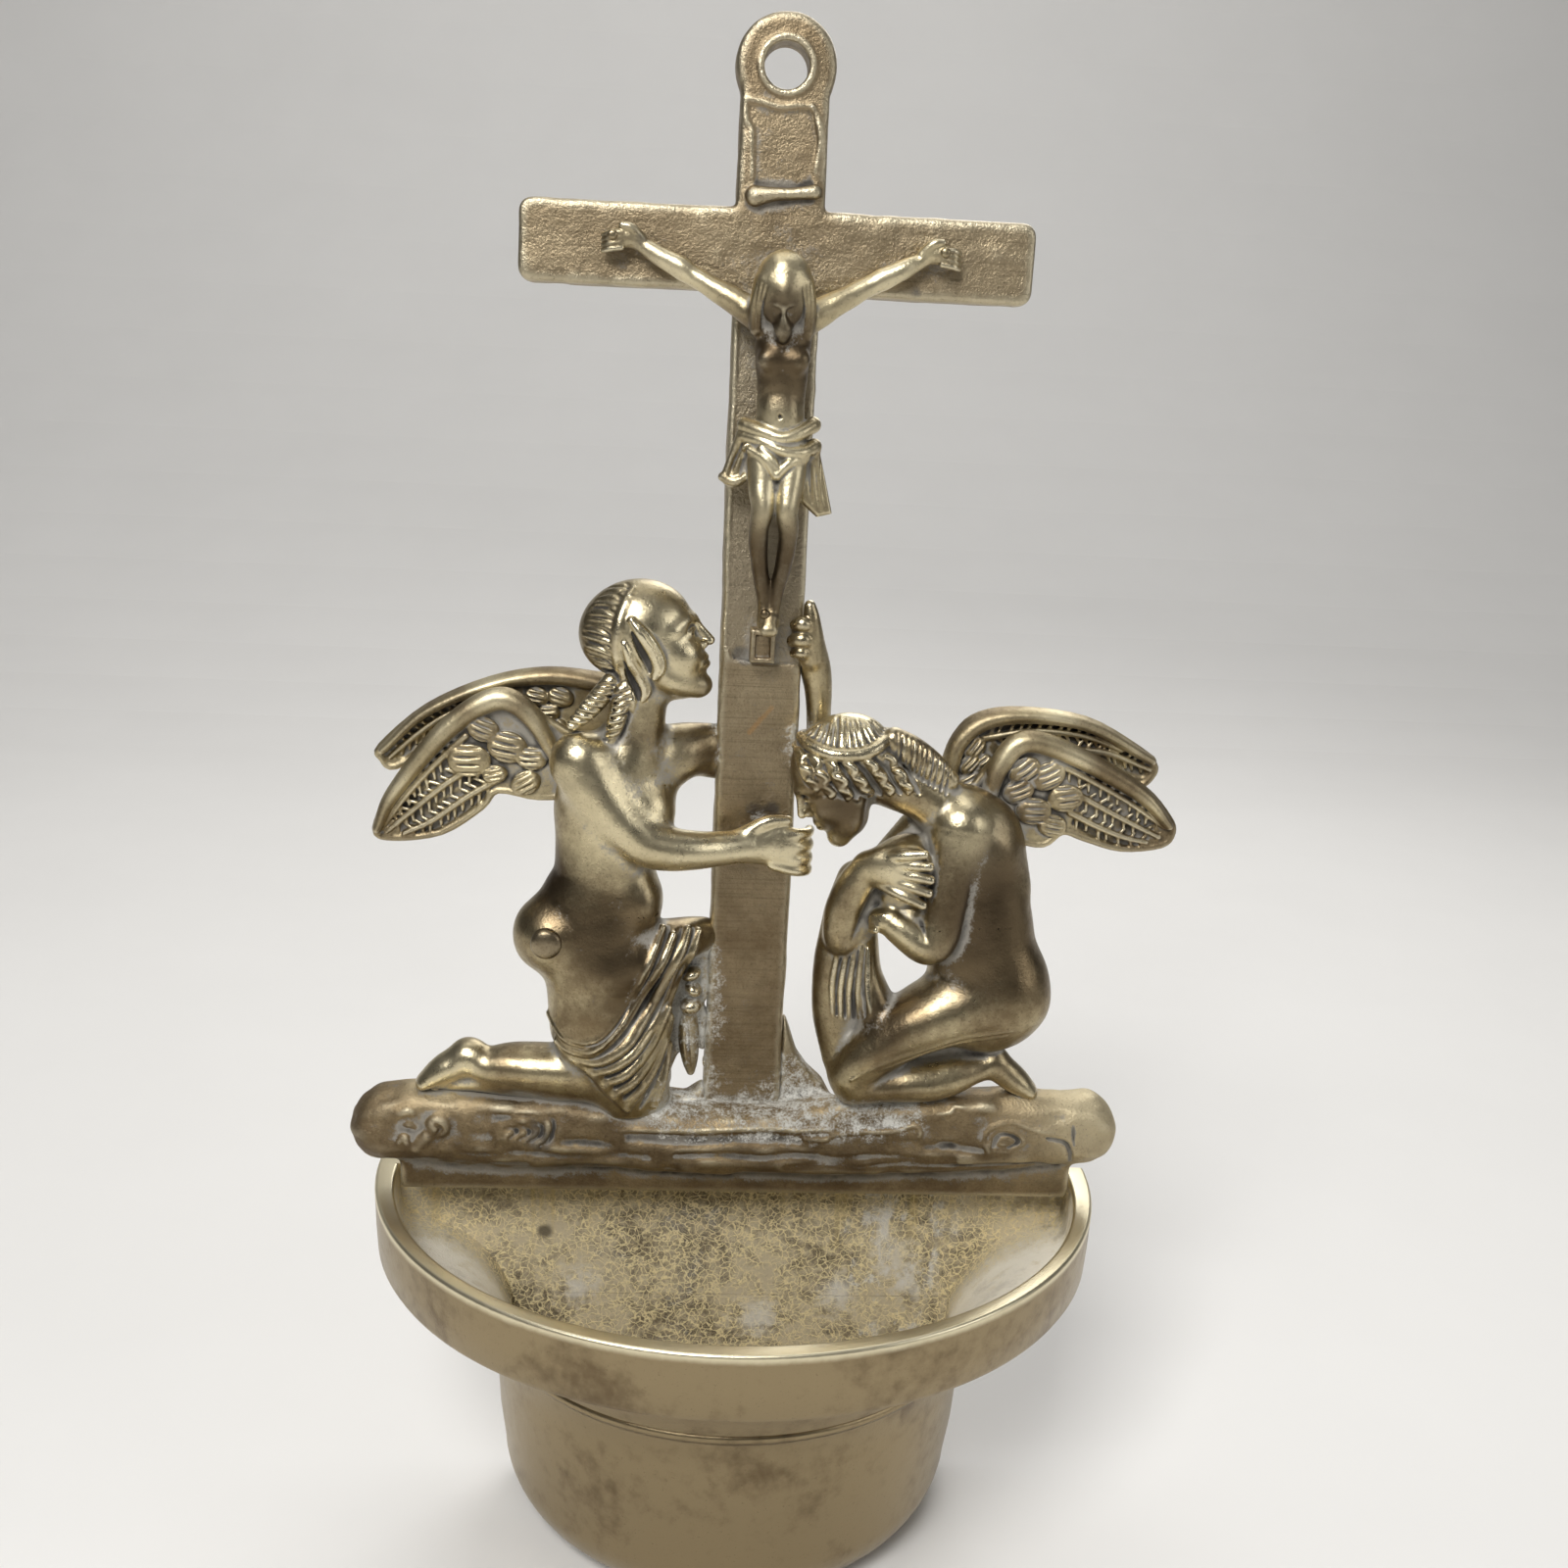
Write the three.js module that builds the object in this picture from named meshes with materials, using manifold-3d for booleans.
// Wall stoup for holy water, in cast brass: a cross with its corpus, two kneeling angels,
// a log-shaped sill and a half-round bowl. Millimetres, +Z up, the wall is the plane y = 0
// and the object stands out of it towards -Y. Heights run from the bowl's rim.
import * as THREE from 'three';
import { mergeVertices } from 'three/addons/utils/BufferGeometryUtils.js';
import Module from 'manifold-3d';

const wasm = await Module();
wasm.setup();

// Driving dimensions: cross
const postWidth = 16.8;
const crossDepth = 8;
const crossBevel = 0.8;
const barLength = 99.2;
const barHeight = 15.4;
const barCorner = 2.5;
const barRise = 177.3;
const eyeRise = 210.3;
const eyeRadius = 9.5;
const eyeHoleRadius = 4;
const countersinkRadius = 6.4;
const countersinkDepth = 1.6;
const scrollWidth = 13.6;
const scrollHeight = 15;
const scrollRelief = 0.6;
const scrollRollRadius = 1.7;
const scrollRise = 2.4;
const tenonWidth = 11;
const tenonDepth = 5;
const tenonLength = 8;

// Driving dimensions: sill
const sillTop = 19;
const sillLength = 169;
const sillHeight = 14.6;
const sillDepth = 18;
const tongueDrop = 1.7;
const tongueThickness = 4;
const webHeight = 14;
const webReach = 8;
const webWaist = 2.4;

// Driving dimensions: bowl
const bowlWidth = 160;
const bowlDepth = 73;
const rimThickness = 4.6;
const rimRound = 1.8;
const collarHeight = 14.5;
const collarDraft = 0.6;
const shelfDepth = 32;
const shelfSag = 4;
const cupWidth = 108;
const cupDepth = 52;
const cupTaper = 2.4;
const cupLip = 1.6;
const cupLipHeight = 2.4;
const cupCorner = 14;
const bowlHeight = 79;
const bowlWall = 3.8;
const backThickness = 3;
const plateRise = 10;

// Driving dimensions: figures
const corpusHeight = 71;
const angelHeight = 113;
const footBlockWidth = 5;
const footBlockHeight = 6.8;
const footBlockDepth = 5;
const footBlockFrame = 0.9;
const footBlockRecess = 0.6;

// Driving dimensions: fixings and fits
const dowelRadius = 1.5;
const dowelLength = 8;
const rivetRadius = 3.2;
const rivetLength = 6;
const rivetCrown = 0.8;
const nailRadius = 0.8;
const nailHeadRadius = 1.3;
const nailHeadHeight = 0.8;
const nailBite = 4;
const screwRadius = 1.6;
const screwHeadRadius = 3.2;
const screwHeadDepth = 1.8;
const screwLength = 9;
const screwSlot = 0.8;
const screwHeadRim = 0.3;
const bowlScrewSpan = 55;
const fitClearance = 0.15;
const pieceGap = 0.3;

// How far a cut runs past the face that it opens, and a size beyond every piece
const cutOver = 1;
const farAway = 1000;

// Sizes that the figures' sections below are written at
const corpusModelHeight = 71;
const angelModelHeight = 113;

const barCentreZ = sillTop + barRise;
const eyeZ = sillTop + eyeRise;
const postHalf = postWidth / 2;

const brassGold = { color: 0x8f7a4c, roughness: 0.38, metalness: 1 };
const brassBrown = { color: 0x7c6640, roughness: 0.46, metalness: 1 };
const brassBowl = { color: 0x7a684a, roughness: 0.34, metalness: 1 };
const brassPin = { color: 0xa08a52, roughness: 0.42, metalness: 1 };

// A closed solid from a geometry: positions only, with shared corners merged.
function solid(geometry) {
  const bare = new THREE.BufferGeometry();
  bare.setAttribute('position', geometry.getAttribute('position').clone());
  if (geometry.index) bare.setIndex(geometry.index.clone());
  const merged = mergeVertices(bare, 1e-4);
  const vertProperties = new Float32Array(merged.getAttribute('position').array);
  const triVerts = new Uint32Array(merged.index.array);
  return new wasm.Manifold(new wasm.Mesh({ numProp: 3, vertProperties, triVerts }));
}

function named(name, body, finish) {
  const mesh = body.getMesh();
  const geometry = new THREE.BufferGeometry();
  geometry.setAttribute('position', new THREE.BufferAttribute(new Float32Array(mesh.vertProperties), 3));
  geometry.setIndex(new THREE.BufferAttribute(new Uint32Array(mesh.triVerts), 1));
  geometry.computeVertexNormals();
  const result = new THREE.Mesh(geometry, new THREE.MeshStandardMaterial(finish));
  result.name = name;
  return result;
}

function join(bodies) {
  return bodies.reduce((sum, body) => sum.add(body));
}

// A box between two corners.
function block(low, high) {
  const size = new THREE.Vector3(...high).sub(new THREE.Vector3(...low));
  const centre = new THREE.Vector3(...low).addScaledVector(size, 0.5);
  return solid(new THREE.BoxGeometry(size.x, size.y, size.z).translate(centre.x, centre.y, centre.z));
}

// A cylinder between two points.
function rod(from, to, radius, sides = 10) {
  const a = new THREE.Vector3(...from);
  const b = new THREE.Vector3(...to);
  const geometry = new THREE.CylinderGeometry(radius, radius, a.distanceTo(b), sides);
  const turn = new THREE.Quaternion();
  turn.setFromUnitVectors(new THREE.Vector3(0, 1, 0), b.clone().sub(a).normalize());
  geometry.applyQuaternion(turn);
  return solid(geometry.translate(...a.add(b).multiplyScalar(0.5).toArray()));
}

// A skin over rings of equal counts, closed at both ends by a fan round each end ring's middle.
function skin(rings) {
  const count = rings[0].length;
  const points = rings.flat();
  const triangles = [];
  for (let i = 0; i + 1 < rings.length; i += 1) {
    for (let j = 0; j < count; j += 1) {
      const a = i * count + j;
      const b = i * count + ((j + 1) % count);
      triangles.push(a, b, a + count, b, b + count, a + count);
    }
  }
  const middles = [rings[0], rings[rings.length - 1]].map((ring) => {
    const middle = new THREE.Vector3();
    ring.forEach((point) => middle.addScaledVector(point, 1 / count));
    return middle;
  });
  const last = (rings.length - 1) * count;
  for (let j = 0; j < count; j += 1) {
    const k = (j + 1) % count;
    triangles.push(points.length, k, j, points.length + 1, last + j, last + k);
  }
  const geometry = new THREE.BufferGeometry();
  const positions = [...points, ...middles].flatMap((point) => point.toArray());
  geometry.setAttribute('position', new THREE.BufferAttribute(new Float32Array(positions), 3));
  geometry.setIndex(triangles);
  const body = solid(geometry);
  if (body.volume() > 0) return body;
  const flipped = triangles.map((value, i) => triangles[i - (i % 3) + 2 - (i % 3)]);
  geometry.setIndex(flipped);
  return solid(geometry);
}

// One ring rounds a limb's end, this far along its half-thickness and this much narrower.
const endPush = 0.75;
const endShrink = 0.62;

// A rounded limb through sections [x, y, z, half-width across, half-depth from the wall].
// scale sizes the whole limb about the local origin and grow fattens it all round.
function limb(sections, { scale = 1, grow = 0, sides = 7, steps = 2 } = {}) {
  const centres = sections.map(([x, y, z]) => new THREE.Vector3(x, y, z).multiplyScalar(scale));
  const halves = sections.map(([, , , across, depth = across]) => new THREE.Vector3(
    across * scale + grow, depth * scale + grow, 0));
  const path = new THREE.CatmullRomCurve3(centres);
  const size = new THREE.CatmullRomCurve3(halves);
  const outward = new THREE.Vector3(0, -1, 0);
  const sideways = new THREE.Vector3(1, 0, 0);
  const ringAt = (t, shrink, push) => {
    const tangent = path.getTangent(t);
    const reference = Math.abs(tangent.y) > 0.9 ? sideways : outward;
    const across = new THREE.Vector3().crossVectors(tangent, reference).normalize();
    const depth = new THREE.Vector3().crossVectors(across, tangent).normalize();
    const half = size.getPoint(t);
    const centre = path.getPoint(t).addScaledVector(tangent, push * Math.min(half.x, half.y));
    return Array.from({ length: sides }, (_, j) => {
      const angle = (2 * Math.PI * j) / sides;
      return centre.clone()
        .addScaledVector(across, half.x * shrink * Math.cos(angle))
        .addScaledVector(depth, half.y * shrink * Math.sin(angle));
    });
  };
  const spans = (sections.length - 1) * steps;
  const rings = [ringAt(0, endShrink, -endPush)];
  for (let i = 0; i <= spans; i += 1) rings.push(ringAt(i / spans, 1, 0));
  rings.push(ringAt(1, endShrink, endPush));
  return skin(rings);
}

// An ellipsoid, leaned about the wall's normal by lean degrees.
function blob(centre, radii, { lean = 0, scale = 1, grow = 0, sides = 8 } = {}) {
  const geometry = new THREE.SphereGeometry(1, sides, Math.round(sides * 0.65));
  geometry.rotateX(Math.PI / 2);
  geometry.scale(...radii.map((radius) => radius * scale + grow));
  geometry.rotateY(THREE.MathUtils.degToRad(lean));
  return solid(geometry.translate(...centre.map((value) => value * scale)));
}

// A flat shape drawn in x and z, extruded from the wall side (back) to the front.
function plate(shape, back, front, { bevel = 0, grow = 0, curveSegments = 4 } = {}) {
  const depth = back - front - 2 * bevel;
  const geometry = new THREE.ExtrudeGeometry(shape, {
    depth,
    curveSegments,
    bevelEnabled: bevel > 0,
    bevelThickness: bevel,
    bevelSize: bevel,
    bevelOffset: grow - bevel,
    bevelSegments: 1,
  });
  geometry.rotateX(Math.PI / 2);
  return solid(geometry.translate(0, back - bevel, 0));
}

// A turned pin along y: profile pairs [radius, y], from the front end to the back end.
function turned(profile, x, z, sides = 10) {
  const points = profile.map(([radius, y]) => new THREE.Vector2(radius, y));
  const geometry = new THREE.LatheGeometry(points, sides);
  return solid(geometry.translate(x, 0, z));
}

function roundedRectangle(width, low, high, corner) {
  const half = width / 2;
  const shape = new THREE.Shape();
  shape.moveTo(half - corner, low);
  shape.absarc(half - corner, low + corner, corner, -Math.PI / 2, 0);
  shape.absarc(half - corner, high - corner, corner, 0, Math.PI / 2);
  shape.absarc(-half + corner, high - corner, corner, Math.PI / 2, Math.PI);
  shape.absarc(-half + corner, low + corner, corner, Math.PI, 1.5 * Math.PI);
  return shape;
}

// Places on the corpus, written at its model height: hands, feet and soles from the crossbar's middle,
// and how far each nail's head stands off the cross.
const handX = 31.5;
const handZ = 1.2;
const handNailReach = 3.8;
const footNailZ = -68.5;
const footNailReach = 7.8;
const soleZ = -72.1;
const corpusScale = corpusHeight / corpusModelHeight;

function nailPlaces() {
  return [
    ['corpus_nail_left', -handX, handZ, handNailReach],
    ['corpus_nail_right', handX, handZ, handNailReach],
    ['corpus_nail_feet', 0, footNailZ, footNailReach],
  ].map(([name, x, z, reach]) => ({
    name,
    x: x * corpusScale,
    z: barCentreZ + z * corpusScale,
    front: -crossDepth - reach * corpusScale,
  }));
}

// Cross: bar, post with its tenon, and the eye, bevelled all round.
function crossBody() {
  const back = 0;
  const front = -crossDepth;
  const finish = { bevel: crossBevel };
  const bar = roundedRectangle(barLength, barCentreZ - barHeight / 2, barCentreZ + barHeight / 2, barCorner);
  const post = new THREE.Shape();
  post.moveTo(-postHalf, sillTop);
  post.lineTo(postHalf, sillTop);
  post.lineTo(postHalf, eyeZ);
  post.lineTo(-postHalf, eyeZ);
  const eye = new THREE.Shape().absarc(0, eyeZ, eyeRadius, 0, 2 * Math.PI);
  const postFoot = block(
    [-postHalf + crossBevel, front + crossBevel, sillTop],
    [postHalf - crossBevel, back - crossBevel, sillTop + 2 * crossBevel],
  );
  const tenon = block(
    [-tenonWidth / 2, -tenonDepth, sillTop - tenonLength],
    [tenonWidth / 2, back, sillTop + 2 * crossBevel],
  );
  const scrollTop = eyeZ - eyeRadius + scrollRise;
  const rollZ = scrollTop - scrollHeight;
  const scroll = plate(
    roundedRectangle(scrollWidth, rollZ, scrollTop, scrollRollRadius * 0.7),
    front + crossBevel, front - scrollRelief, { bevel: scrollRelief / 2, curveSegments: 3 });
  const rollEnd = scrollWidth / 2 - scrollRollRadius * 0.6;
  const roll = limb([
    [-rollEnd, front, rollZ, scrollRollRadius * 1.25],
    [0, front, rollZ, scrollRollRadius],
    [rollEnd, front, rollZ, scrollRollRadius * 1.25],
  ], { sides: 6, steps: 1 });
  const body = join([
    plate(post, back, front, finish),
    plate(bar, back, front, finish),
    plate(eye, back, front, { bevel: crossBevel, curveSegments: 18 }),
    postFoot, tenon, scroll, roll,
  ]);
  const flare = (countersinkRadius - eyeHoleRadius) / countersinkDepth;
  const hole = turned([
    [0, front - cutOver],
    [countersinkRadius + flare * cutOver, front - cutOver],
    [eyeHoleRadius, front + countersinkDepth],
    [eyeHoleRadius, back + cutOver],
    [0, back + cutOver],
  ], 0, eyeZ, 20);
  const nailHoles = nailPlaces().map(({ x, z }) => rod(
    [x, front - cutOver, z], [x, front + nailBite + fitClearance, z], nailRadius + fitClearance, 8));
  return body.subtract(join([hole, crossScrewCutter(), ...nailHoles]));
}

// Countersunk slotted screw driven from the back, head flush with y = 0.
function screw(x, z, grow = 0) {
  const shank = screwRadius + grow;
  const head = screwHeadRadius + grow;
  return turned([
    [0, -screwLength - grow],
    [shank, -screwLength - grow],
    [shank, -screwHeadDepth],
    [head, -screwHeadRim],
    [head, 0],
    [0, 0],
  ], x, z);
}

function screwCutter(x, z) {
  const mouth = rod([x, -screwHeadRim, z], [x, cutOver, z], screwHeadRadius + fitClearance);
  return join([screw(x, z, fitClearance), mouth]);
}

function slottedScrew(name, x, z) {
  const slot = block(
    [x - screwHeadRadius - cutOver, -screwSlot, z - screwSlot / 2],
    [x + screwHeadRadius + cutOver, cutOver, z + screwSlot / 2],
  );
  return named(name, screw(x, z).subtract(slot), brassPin);
}

const crossScrewZ = sillTop - tenonLength / 2;
const bowlScrewZ = plateRise - screwHeadRadius - 1;
const bowlScrews = [['left', -bowlScrewSpan], ['middle', 0], ['right', bowlScrewSpan]];

function crossScrewCutter() {
  return screwCutter(0, crossScrewZ);
}

// Sill: a log with domed ends, flat on top where the figures kneel, a tongue that hangs in front
// of the bowl's back plate, and carved knots.
const sillCrown = 0.6;
const sillSag = 0.4;
const tongueEndGap = 2;
const sillCentreZ = sillTop - sillHeight / 2 + sillCrown;
const tongueHalf = bowlWidth / 2 - rimThickness - tongueEndGap;

function sillBody(dowelPlaces) {
  const halfLength = sillLength / 2;
  const halfHeight = sillHeight / 2;
  const y = -sillDepth / 2;
  const log = limb([
    [-halfLength + halfHeight * 0.7, y, sillCentreZ, halfHeight * 0.92, sillDepth * 0.42],
    [-halfLength * 0.72, y, sillCentreZ, halfHeight, sillDepth * 0.46],
    [-halfLength * 0.3, y, sillCentreZ - sillSag, halfHeight * 0.98, sillDepth / 2],
    [halfLength * 0.3, y, sillCentreZ - sillSag, halfHeight * 0.98, sillDepth / 2],
    [halfLength * 0.72, y, sillCentreZ, halfHeight, sillDepth * 0.46],
    [halfLength - halfHeight * 0.7, y, sillCentreZ, halfHeight * 0.92, sillDepth * 0.42],
  ], { sides: 12, steps: 1 });
  const tongueFront = -backThickness - tongueThickness;
  const core = block(
    [-tongueHalf, tongueFront, sillCentreZ - halfHeight * 0.6],
    [tongueHalf, 0, sillCentreZ + halfHeight * 0.6],
  );
  const tongue = block(
    [-tongueHalf, tongueFront, -tongueDrop],
    [tongueHalf, -backThickness, sillCentreZ],
  );
  const knots = [
    blob([-halfLength * 0.83, -sillDepth * 0.9, sillCentreZ - 1], [5.5, 3, 4], { lean: 15 }),
    blob([-halfLength * 0.53, -sillDepth * 0.93, sillCentreZ - 2], [6, 2, 3.4]),
    blob([halfLength * 0.62, -sillDepth * 0.92, sillCentreZ - 2], [5.5, 2, 3.6]),
    blob([halfLength * 0.86, -sillDepth * 0.88, sillCentreZ - 1.5], [5, 2.6, 4.2], { lean: -20 }),
  ];
  const webShape = new THREE.Shape();
  webShape.moveTo(postHalf + pieceGap, sillTop - webWaist);
  webShape.lineTo(postHalf + pieceGap, sillTop + webHeight);
  webShape.quadraticCurveTo(postHalf + webWaist, sillTop + webWaist, postHalf + webReach, sillTop);
  webShape.lineTo(postHalf + webReach, sillTop - webWaist);
  const web = plate(webShape, -2 * crossBevel, -crossDepth + crossBevel);
  const below = block([-farAway, -farAway, -farAway], [farAway, 0, sillTop]);
  const shaped = join([log, core, tongue, ...knots]).intersect(below).add(web);
  const rabbet = block(
    [-tongueHalf - cutOver, -backThickness, -farAway],
    [tongueHalf + cutOver, cutOver, plateRise],
  );
  const mortise = block(
    [-tenonWidth / 2 - fitClearance, -tenonDepth - fitClearance, sillTop - tenonLength - fitClearance],
    [tenonWidth / 2 + fitClearance, cutOver, sillTop + cutOver],
  );
  const holes = bowlScrews.map(([, x]) => screwCutter(x, bowlScrewZ));
  const dowelHoles = dowelPlaces.map(([, x, place]) => rod(
    [x, place, sillTop - dowelLength / 2 - fitClearance],
    [x, place, sillTop + cutOver],
    dowelRadius + fitClearance,
  ));
  return shaped.subtract(join([rabbet, mortise, crossScrewCutter(), ...holes, ...dowelHoles]));
}

// Bowl: half-oval plans that share one flat back, lofted down an outer and an inner profile.
const planSteps = 24;

function halfOval(half, depth, z, back) {
  return Array.from({ length: planSteps + 1 }, (_, i) => {
    const angle = (Math.PI * i) / planSteps;
    return new THREE.Vector3(half * Math.cos(angle), -back - (depth - back) * Math.sin(angle), z);
  });
}

// Depth from the wall for a given half-width: the collar and the cup keep their own proportions.
function planDepth(half) {
  const slope = (bowlDepth - cupDepth) / ((bowlWidth - cupWidth) / 2);
  return cupDepth + (half - cupWidth / 2) * slope;
}

function halfRound(profile, back = 0) {
  return skin(profile.map(([half, z]) => halfOval(half, planDepth(half), z, back)));
}

// The shelf between collar and cup sags like a scoop: points on one quadratic curve.
function shelfCurve(start, end, sag) {
  const control = new THREE.Vector2(end[0] + (start[0] - end[0]) * 0.22, start[1] - sag);
  const ends = [start, end].map((point) => new THREE.Vector2(...point));
  const curve = new THREE.QuadraticBezierCurve(ends[0], control, ends[1]);
  return curve.getPoints(5).map((point) => point.toArray());
}

const rimHalf = bowlWidth / 2;
const rimInner = rimHalf - rimThickness;
const cupHalf = cupWidth / 2;
const cupInner = cupHalf - bowlWall;

function basinBody() {
  const outer = halfRound([
    [rimHalf - rimRound, 0],
    [rimHalf - rimRound * 0.3, -rimRound * 0.3],
    [rimHalf, -rimRound],
    [rimHalf - collarDraft, -collarHeight + rimRound * 0.5],
    ...shelfCurve([rimHalf - 2 * collarDraft, -collarHeight], [cupHalf + cupLip, -shelfDepth], shelfSag),
  ]);
  const inner = halfRound([
    [rimInner + rimRound, cutOver],
    [rimInner + rimRound, 0],
    [rimInner + rimRound * 0.3, -rimRound * 0.3],
    [rimInner, -rimRound],
    [rimInner - 2 * collarDraft, -collarHeight + bowlWall],
    ...shelfCurve([rimInner - bowlWall, -collarHeight + bowlWall * 0.6], [cupInner, -shelfDepth], shelfSag),
    [cupInner, -shelfDepth - cutOver],
  ], backThickness);
  const backPlate = block([-tongueHalf, -backThickness, -rimThickness], [tongueHalf, 0, plateRise]);
  const holes = bowlScrews.map(([, x]) => screwCutter(x, bowlScrewZ));
  return outer.subtract(inner).add(backPlate).subtract(join(holes));
}

function cupBody() {
  const low = cupHalf - cupTaper;
  const cornerSteps = [30, 60, 90].map((degrees) => THREE.MathUtils.degToRad(degrees));
  const corner = (half, radius, bottom) => cornerSteps.map((angle) => [
    half - radius * (1 - Math.cos(angle)), bottom + radius * (1 - Math.sin(angle)),
  ]);
  const outer = halfRound([
    [cupHalf + cupLip, -shelfDepth],
    [cupHalf + cupLip, -shelfDepth - cupLipHeight * 0.7],
    [cupHalf, -shelfDepth - cupLipHeight],
    [low, -bowlHeight + cupCorner],
    ...corner(low, cupCorner, -bowlHeight),
  ]);
  const innerCorner = cupCorner - bowlWall;
  const inner = halfRound([
    [cupInner, -shelfDepth + cutOver],
    [cupInner, -shelfDepth],
    [low - bowlWall, -bowlHeight + cupCorner],
    ...corner(low - bowlWall, innerCorner, -bowlHeight + bowlWall),
  ], backThickness);
  return outer.subtract(inner);
}

// Corpus, in its own frame: origin on the cross's face at the crossbar's middle.
function corpusBody() {
  const scale = corpusScale;
  const arms = [-1, 1].map((side) => limb([
    [side * 32.5, -1.6, 1.6, 1.9, 2.0],
    [side * 27.5, -1.6, 0.4, 1.2, 1.4],
    [side * 19, -2.4, -4.4, 1.6, 1.6],
    [side * 11, -3.8, -8.2, 1.9, 1.9],
    [side * 5.4, -5, -11.6, 2.4, 2.6],
  ], { scale, sides: 6, steps: 1 }));
  const legs = [-1, 1].map((side) => limb([
    [0.6 + side * 3, -6.2, -38, 3.7, 3.8],
    [0.4 + side * 2.4, -9, -44, 3.1, 3.2],
    [0.4 + side * 2, -10.6, -49, 2.6, 2.8],
    [side * 1.7, -8, -58, 2.1, 2.5],
    [side * 1.2, -6, -67, 1.5, 1.7],
    [side * 0.9, -7.4, -71, 1.6, 1.8],
  ], { scale, sides: 6, steps: 1 }));
  const torso = limb([
    [0.4, -5.8, -12.5, 5.6, 3.8],
    [0.5, -6.2, -18, 6.4, 4.6],
    [0.8, -6, -25, 5.7, 4.2],
    [0.8, -5.8, -31, 5.2, 3.8],
    [0.8, -6.2, -37, 6.2, 4.6],
  ], { scale, steps: 1 });
  const head = blob([0, -9.6, -8], [3.9, 4.4, 5.6], { scale });
  const hair = limb([
    [0, -8.2, -3.4, 4.6, 4.6],
    [0, -7.8, -8, 5, 4.4],
    [0, -7, -13, 4.6, 3.2],
  ], { scale, steps: 1 });
  const clothRolls = [
    [[-6.4, -4.6, -32.5, 1.5, 1.6], [0.5, -10.4, -35.4, 1.7, 1.6], [7.4, -4.6, -33.5, 1.5, 1.6]],
    [[-6.6, -4.8, -35.5, 1.5, 1.6], [0.5, -11, -38.6, 1.8, 1.6], [7.6, -4.8, -36, 1.5, 1.6]],
    [[-6.4, -4, -36, 1.6, 1.8], [-9, -3.6, -40, 1.4, 2], [-9.8, -3, -43.2, 1.2, 1.8]],
    [[7, -4, -36, 1.7, 1.8], [9, -3.6, -42, 1.6, 2], [10.8, -3, -48.4, 1.2, 1.8]],
  ].map((sections) => limb(sections, { scale, sides: 5, steps: 1 }));
  const skirt = limb([[0.6, -6.2, -34, 6.9, 5], [0.7, -6.8, -41, 6.4, 5]], { scale, steps: 1 });
  const whole = join([...arms, ...legs, torso, head, hair, skirt, ...clothRolls]);
  const seat = block([-farAway, -farAway, soleZ * scale], [farAway, 0, farAway]);
  const holes = nailPlaces().map(({ x, z, front }) => nail(
    x, z - barCentreZ, front + crossDepth, fitClearance, nailMouth));
  return whole.intersect(seat).subtract(join(holes));
}

// Flat-headed nail along y, in the corpus's frame: front is its head's outer face. A hole for it
// is grown by the clearance and opens forwards by its mouth.
const nailMouth = 3;

function nail(x, z, front, grow = 0, mouth = 0) {
  return turned([
    [0, front - mouth],
    [nailHeadRadius + grow, front - mouth],
    [nailHeadRadius + grow, front + nailHeadHeight],
    [nailRadius + grow, front + nailHeadHeight],
    [nailRadius + grow, nailBite],
    [0, nailBite],
  ], x, z, 8);
}

function footBlockBody() {
  const top = soleZ * corpusScale;
  const half = footBlockWidth / 2;
  const body = block([-half, -footBlockDepth, top - footBlockHeight], [half, 0, top]);
  const panel = block(
    [-half + footBlockFrame, -footBlockDepth - cutOver, top - footBlockHeight + footBlockFrame],
    [half - footBlockFrame, -footBlockDepth + footBlockRecess, top - footBlockFrame],
  );
  return body.subtract(panel);
}

// Angels, each in a frame at the foot of the post: x = 0 on the post's side face, z = 0 on the sill.
const angelScale = angelHeight / angelModelHeight;
const leftDowels = [['left_knee_dowel', -18, -13], ['left_foot_dowel', -57.5, -10.5]];
const rightDowels = [['right_knee_dowel', 16, -13], ['right_foot_dowel', 52, -10.8]];
const hipRivet = [-33.3, -22, 40.6];
const farSide = postWidth / angelScale;
const postFront = crossDepth / angelScale;

function angelLimbs(table, facets) {
  return join(table.map((sections) => limb(sections, { scale: angelScale, ...facets })));
}

// Cuts that every kneeling figure shares: the sill below, the post beside and the dowel holes.
function seatFigure(body, postSide, dowels) {
  const above = block([-farAway, -farAway, 0], [farAway, 0, farAway]);
  const postLow = postSide < 0 ? -postWidth : 0;
  const post = block(
    [postLow - pieceGap, -crossDepth - pieceGap, -cutOver],
    [postLow + postWidth + pieceGap, cutOver, farAway],
  );
  const holes = dowels.map(([, x, y]) => rod(
    [x * angelScale, y * angelScale, -cutOver],
    [x * angelScale, y * angelScale, dowelLength / 2 + fitClearance],
    dowelRadius + fitClearance,
  ));
  return body.intersect(above).subtract(join([post, ...holes]));
}

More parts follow.
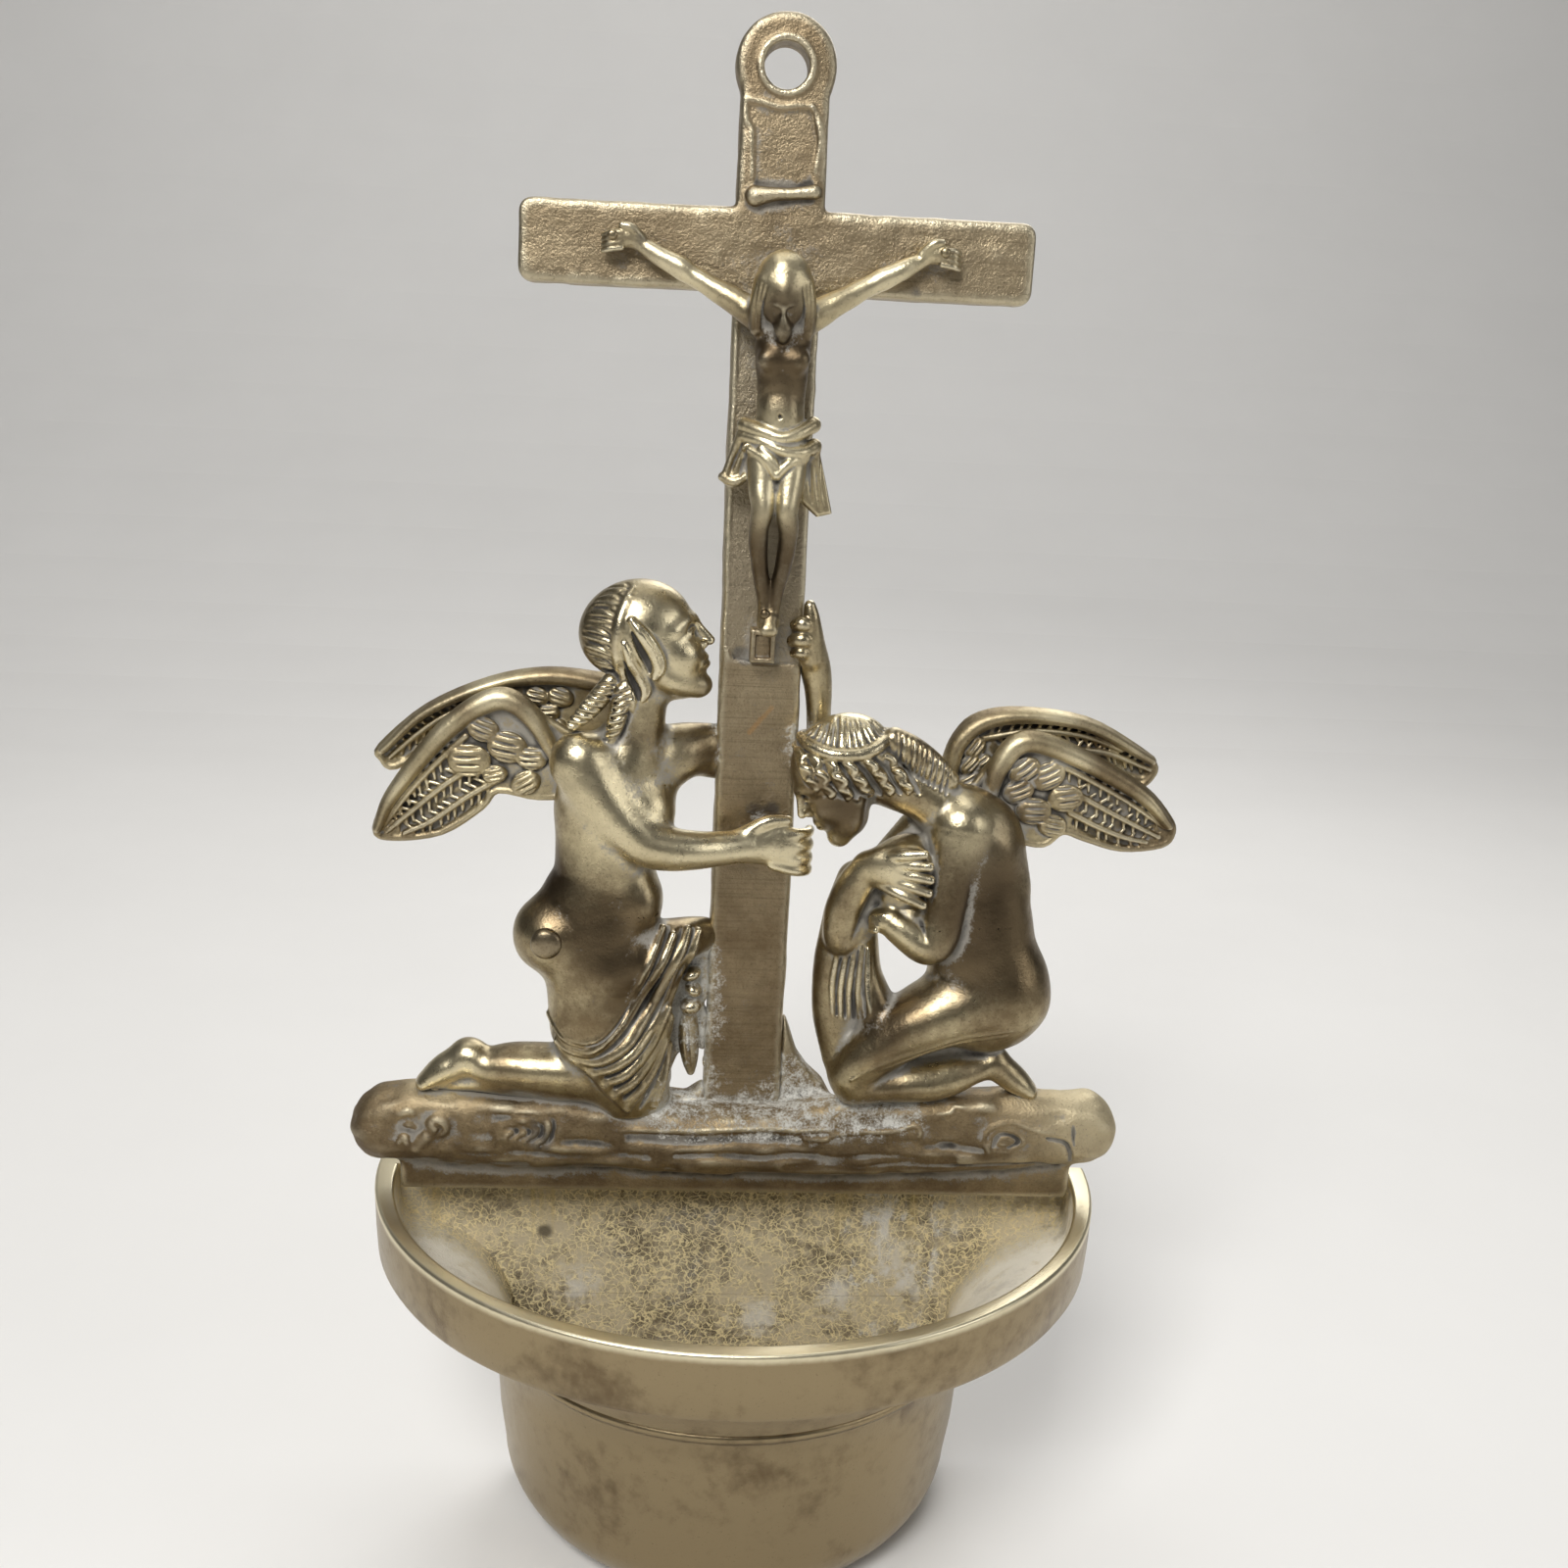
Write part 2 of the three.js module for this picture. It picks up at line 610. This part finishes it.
function leftAngelBody() {
  const scale = angelScale;
  const trunk = angelLimbs([
    [[-21.4, -11.5, 24, 13, 10], [-24, -11.5, 38, 14, 10.4], [-22.6, -11, 53, 10.8, 9],
      [-21.4, -11, 69, 11.6, 9.4], [-21, -11.2, 79, 9.4, 8.6]],
    [[-20, -11.6, 78, 6.4, 6], [-17.8, -12, 93, 5.4, 5.2]],
  ], { sides: 9 });
  const buttock = blob([-32, -12.5, 38.5], [9, 8.5, 9.5], { scale });
  const headAndHair = [
    blob([-17.8, -12, 102.4], [10.4, 8.2, 11.4], { lean: 18, scale, sides: 10 }),
    blob([-11.2, -12, 98.6], [7.2, 5.6, 8.6], { lean: 20, scale }),
  ];
  const arms = angelLimbs([
    [[-27, -15.6, 78, 6.8, 6.4], [-22.4, -18, 69, 5.8, 5.4], [-16, -18.4, 61.8, 5.2, 5],
      [-5, -postFront - 9, 60, 4.6, 4.4], [4, -postFront - 6.4, 59.8, 3.5, 3.2]],
    [[3, -postFront - 5.4, 59.8, 4, 2.8], [farSide - 5.8, -postFront - 4.2, 60.2, 5.2, 2.8],
      [farSide + 1.6, -postFront - 3, 60, 4.6, 2.6], [farSide + 3.6, -postFront + 1.6, 59.6, 3.6, 2]],
    [[-15, -8.5, 74.6, 8, 7], [-7, -7, 77.4, 5.8, 5.4], [2, -5.6, 77.4, 5.2, 4.6]],
  ], { steps: 1 });
  const legs = angelLimbs([
    [[-17.6, -13, 6.2, 6.6, 7], [-31, -12.5, 7.6, 6, 6.2], [-46, -11, 10.4, 3.6, 3.8]],
    [[-50, -10.6, 12.4, 3.2, 3.4], [-55.5, -10.6, 7.4, 3.2, 4], [-61, -10.4, 2.6, 2.2, 3.6]],
  ], { steps: 1 });
  const drapery = angelLimbs([
    [[-23.5, -12, 29, 13, 10.4], [-20, -13.2, 17, 11, 9.6], [-17.4, -13.2, 6, 8.4, 8.6]],
    [[-17, -9.5, 40, 7.4, 7], [-7.4, -9, 36, 6, 6.4], [-6.6, -9, 20, 4.8, 5], [-8.4, -9.4, 5, 6, 6]],
    [[-32, -15, 21.6, 2, 2], [-24, -21, 25.6, 2.2, 2], [-14, -18.6, 35.4, 2.2, 2], [-5, -12, 44.4, 2, 2]],
    [[-31, -16, 17, 1.8, 1.8], [-22, -21.6, 18.6, 2, 2], [-12, -18, 29, 2, 2], [-5.4, -13, 40, 1.8, 1.8]],
    [[-28, -18.4, 10.6, 1.6, 1.6], [-20, -22, 10.4, 1.8, 2], [-12.4, -17.6, 19, 1.8, 2],
      [-7, -13.8, 32, 1.6, 1.8]],
    [[-3, -10, 33, 1.7, 1.8], [-3, -10, 20, 1.4, 1.6], [-3.2, -10, 8, 1.8, 1.8]],
  ], { sides: 6, steps: 1 });
  const rivetHole = rod(
    [hipRivet[0] * scale, -farAway, hipRivet[2] * scale],
    [hipRivet[0] * scale, hipRivet[1] * scale + rivetLength + fitClearance, hipRivet[2] * scale],
    rivetRadius + fitClearance,
  );
  const body = join([trunk, buttock, ...headAndHair, arms, legs, drapery]);
  const wings = join([wingBody(leftNearWing, pieceGap), wingBody(leftFarWing, pieceGap)]);
  return seatFigure(body, 1, leftDowels).subtract(join([rivetHole, wings]));
}

function hipRivetBody() {
  const [x, y, z] = hipRivet.map((value) => value * angelScale);
  return turned([
    [0, y - rivetCrown],
    [rivetRadius * 0.5, y - rivetCrown * 0.8],
    [rivetRadius * 0.85, y - rivetCrown * 0.25],
    [rivetRadius, y + rivetCrown * 0.5],
    [rivetRadius, y + rivetLength],
    [0, y + rivetLength],
  ], x, z);
}

// Raised forearm and hand of the left angel, on the far side of the post.
function farForearmBody() {
  const body = angelLimbs([
    [[farSide + 4.6, -5, 84, 4.2, 4], [farSide + 5.2, -4.8, 94, 4, 3.8], [farSide + 3.8, -5, 104, 3, 3],
      [farSide + 1.6, -6.4, 111, 2.6, 2.6]],
    [[farSide + 1.8, -6.6, 109.6, 2.4, 2.4], [farSide + 0.2, -postFront - 1.4, 108, 2.2, 1.8],
      [farSide - 2.2, -postFront - 2, 105.6, 2, 1.4]],
  ], { steps: 1 });
  const head = rightHead(pieceGap).translate([postWidth, 0, 0]);
  const post = block([-pieceGap, -crossDepth - pieceGap, 0], [postWidth + pieceGap, cutOver, farAway]);
  const wallSide = block([0, -farAway, 0], [farAway, 0, farAway]);
  return body.intersect(wallSide).subtract(join([post, head]));
}

function rightHead(grow = 0) {
  const scale = angelScale;
  return join([
    blob([14.4, -13, 77.4], [10, 8.4, 10.8], { lean: -32, scale, grow, sides: 10 }),
    blob([10.4, -13, 71.6], [6.4, 5.8, 8], { lean: -24, scale, grow }),
    limb([[20, -13, 82, 5, 5], [27, -13.4, 76.6, 3, 3.4]], { scale, grow }),
  ]);
}

function rightAngelBody() {
  const trunk = angelLimbs([
    [[43.6, -11.5, 24, 10.8, 10], [45, -11.5, 36, 10.8, 9.8], [43.2, -11, 49, 9.8, 9.2],
      [40.4, -11, 60, 11, 9.4], [38, -11.2, 66.4, 9.4, 8.8]],
    [[35.4, -12, 70, 6, 5.6], [23, -12.6, 76.6, 5.2, 5]],
  ], { sides: 9 });
  const arms = angelLimbs([
    [[36, -15.8, 66.6, 7, 6.4], [35, -17.8, 55.6, 6, 5.6], [32, -18.2, 44.6, 5, 4.8],
      [22, -17.6, 48.6, 4.2, 4]],
    [[30, -8, 64, 5.4, 5], [21, -9, 52, 4.6, 4.4], [14.8, -10.6, 43.4, 4.4, 4.4],
      [16.4, -12.8, 56.4, 4, 3.8], [22, -16.6, 58, 4.4, 2.8], [28.6, -18.8, 57, 4.8, 2.2]],
  ], { steps: 1 });
  const legs = angelLimbs([
    [[46.4, -13, 27.6, 9.8, 9.2], [31, -14, 19.6, 8, 8.4], [13.4, -13.4, 9.2, 6, 6.6]],
    [[14, -12.4, 5, 5.4, 6.4], [30, -11.6, 5.6, 5.6, 6.2], [44.6, -11, 9, 3.8, 4]],
    [[46.4, -11, 12.4, 3.2, 3.4], [50.6, -11, 7.4, 3.2, 4], [55, -10.6, 2.6, 2.2, 3.6]],
  ], { steps: 1 });
  const drapery = angelLimbs([
    [[14.8, -10, 47, 5.4, 4.6], [12, -9.6, 36, 6.4, 5], [11.8, -9.6, 24, 6.4, 5], [14, -10.4, 12, 5.4, 5]],
    [[9.6, -13, 48, 1.4, 1.6], [6.6, -13, 34, 1.5, 1.6], [8.6, -13.4, 16, 1.4, 1.6]],
    [[13, -14, 46, 1.4, 1.6], [11.2, -14.2, 33, 1.5, 1.6], [11.4, -14.4, 20, 1.4, 1.6]],
    [[17.4, -13.4, 45, 1.4, 1.6], [16.6, -13.6, 33, 1.5, 1.6], [15.4, -14, 24, 1.4, 1.6]],
  ], { sides: 6, steps: 1 });
  const body = join([trunk, rightHead(), arms, legs, drapery]);
  const wings = join([wingBody(rightNearWing, pieceGap), wingBody(rightFarWing, pieceGap)]);
  const web = block([-cutOver, -crossDepth, -cutOver], [webReach + pieceGap, 0, webWaist]);
  return seatFigure(body, -1, rightDowels).subtract(join([wings, web]));
}

// Wings: a flat blade with a rolled leading edge, raised quills and covert scales.
// Outline, edge and quills are [x, z] points in the angel's frame.
const leftNearWing = {
  back: -6.6,
  front: -10.4,
  edge: [[-32, 76, 1.6], [-38.2, 85.6, 2.2], [-45, 88.4, 2.4], [-55, 81.6, 2.2], [-65.6, 68.2, 1.6],
    [-69, 60.6, 1]],
  outline: [[-30, 82], [-38.2, 86.4], [-46, 89.2], [-55, 82.4], [-65.6, 68.6], [-69.8, 60], [-66.2, 58.2],
    [-56.2, 59.8], [-48, 65.4], [-44.5, 69.2], [-36, 68], [-30, 70]],
  quills: [[[-54.6, 77.6], [-61.4, 70.6], [-67.6, 61.2]], [[-52.6, 73.4], [-60, 66.8], [-68, 59.6]],
    [[-46, 73.6], [-54, 68.2], [-62, 60.4]]],
  coverts: [[-50.2, 75.6, 4.2], [-42.5, 78.6, 4], [-47.4, 82.2, 3.2], [-37.6, 76.4, 3], [-45, 72.8, 2.4],
    [-38.8, 71.2, 3]],
};
const leftFarWing = {
  back: -2,
  front: -5.4,
  edge: [[-24, 91.6, 1.8], [-34.7, 92.6, 2], [-46.6, 90.2, 1.8], [-59.6, 84, 1.6], [-68.4, 76, 1.2]],
  outline: [[-22, 93], [-34.7, 93.8], [-46.6, 91.4], [-59.6, 85.2], [-69.2, 75.6], [-66.4, 73.2], [-56, 80],
    [-44, 79], [-34, 76], [-22, 78]],
  quills: [[[-50, 87.4], [-58.6, 83.4], [-67, 76.4]]],
  coverts: [[-37.1, 88.4, 2.4], [-32.3, 88.4, 2.6], [-34.7, 85, 2.2], [-33.4, 81.8, 2.4]],
};
const rightNearWing = {
  back: -6.6,
  front: -10.4,
  edge: [[40, 69, 1.6], [42, 77.6, 2.2], [47.4, 83.4, 2.4], [58.6, 80.4, 2.2], [72.6, 73, 1.8],
    [79.2, 66.4, 1]],
  outline: [[36, 72], [41, 79], [47.7, 84.8], [59.3, 81.4], [73.2, 74.2], [80.4, 65.4], [77, 61.8],
    [68.9, 61.4], [58, 65], [52.9, 61], [46, 62], [36, 64]],
  quills: [[[54.2, 79.6], [65, 73.8], [78, 67]], [[59.6, 71.4], [68, 67.2], [77.6, 63.4]],
    [[59.5, 68.6], [67, 64.6], [75, 62.4]]],
  coverts: [[47.5, 77.2, 3.4], [52.5, 76.2, 3.6], [46.6, 72.8, 3.2], [50.1, 68.6, 3.6], [56.7, 71.6, 3.6],
    [54.3, 65.6, 3]],
};
const rightFarWing = {
  back: -2,
  front: -5.4,
  edge: [[32, 71, 1.8], [34.4, 82, 2], [43, 87.4, 2], [60, 86.4, 1.8], [75.6, 79.4, 1.2]],
  outline: [[30, 72], [33.4, 83], [38.1, 87.6], [47, 89], [61, 87.4], [76.8, 78.6], [73.6, 75],
    [62.8, 79.6], [52, 76], [42, 68], [30, 66]],
  quills: [[[42, 83.4], [55, 84.4], [67, 82.8]], [[62, 81.6], [70, 80.2], [76, 78.2]]],
  coverts: [[37.6, 80.6, 2.6], [36.8, 77, 2.4], [39.4, 77.4, 2.2], [37.1, 73.2, 2.6]],
};

const wingBevel = 0.5;
const bladeInset = 1;
const covertRelief = 1.2;
const quillHalf = 0.7;
const outlineSteps = 24;

function wingBody(wing, grow = 0) {
  const scale = angelScale;
  const corners = wing.outline.map(([x, z]) => new THREE.Vector3(x, z, 0).multiplyScalar(scale));
  const outline = new THREE.CatmullRomCurve3(corners, true, 'centripetal').getPoints(outlineSteps);
  const shape = new THREE.Shape(outline.slice(0, -1).map((point) => new THREE.Vector2(point.x, point.y)));
  const middle = (wing.back + wing.front) / 2;
  const face = wing.front + bladeInset;
  const blade = plate(
    shape, (wing.back - wingBevel) * scale + grow, face * scale - grow, { bevel: wingBevel, grow });
  const edge = limb(wing.edge.map(([x, z, r]) => [x, middle, z, r, r]), { scale, grow, sides: 6 });
  const quills = wing.quills.map((points) => limb(
    points.map(([x, z]) => [x, face, z, quillHalf, quillHalf]), { scale, grow, sides: 5, steps: 1 }));
  const coverts = wing.coverts.map(([x, z, r]) => blob(
    [x, face, z], [r, covertRelief, r], { scale, grow, sides: 6 }));
  return join([blade, edge, ...quills, ...coverts]);
}

// Assembly
const stoup = new THREE.Group();
const atPost = (side) => new THREE.Vector3(side * postHalf, 0, sillTop);
const worldDowels = [[leftDowels, -1], [rightDowels, 1]].flatMap(([dowels, side]) => dowels.map(
  ([name, x, y]) => [name, x * angelScale + side * postHalf, y * angelScale]));

stoup.add(named('cross', crossBody(), brassBrown));
stoup.add(named('log_sill', sillBody(worldDowels), brassBrown));
stoup.add(slottedScrew('cross_screw', 0, crossScrewZ));

const corpusGroup = new THREE.Group();
corpusGroup.position.set(0, -crossDepth, barCentreZ);
corpusGroup.add(named('corpus', corpusBody(), brassGold));
corpusGroup.add(named('foot_block', footBlockBody(), brassGold));
nailPlaces().forEach(({ name, x, z, front }) => {
  corpusGroup.add(named(name, nail(x, z - barCentreZ, front + crossDepth), brassPin));
});
stoup.add(corpusGroup);

const leftGroup = new THREE.Group();
leftGroup.position.copy(atPost(-1));
leftGroup.add(named('left_angel', leftAngelBody(), brassGold));
leftGroup.add(named('left_near_wing', wingBody(leftNearWing), brassGold));
leftGroup.add(named('left_far_wing', wingBody(leftFarWing), brassGold));
leftGroup.add(named('left_far_forearm', farForearmBody(), brassGold));
leftGroup.add(named('left_hip_rivet', hipRivetBody(), brassPin));
stoup.add(leftGroup);

const rightGroup = new THREE.Group();
rightGroup.position.copy(atPost(1));
rightGroup.add(named('right_angel', rightAngelBody(), brassGold));
rightGroup.add(named('right_near_wing', wingBody(rightNearWing), brassGold));
rightGroup.add(named('right_far_wing', wingBody(rightFarWing), brassGold));
stoup.add(rightGroup);

worldDowels.forEach(([name, x, y]) => {
  const ends = [sillTop - dowelLength / 2, sillTop + dowelLength / 2];
  stoup.add(named(name, rod([x, y, ends[0]], [x, y, ends[1]], dowelRadius), brassPin));
});

const bowlGroup = new THREE.Group();
bowlGroup.add(named('bowl_basin', basinBody(), brassBowl));
bowlGroup.add(named('bowl_cup', cupBody(), brassBowl));
bowlScrews.forEach(([place, x]) => bowlGroup.add(slottedScrew(`bowl_screw_${place}`, x, bowlScrewZ)));
stoup.add(bowlGroup);

export default stoup;
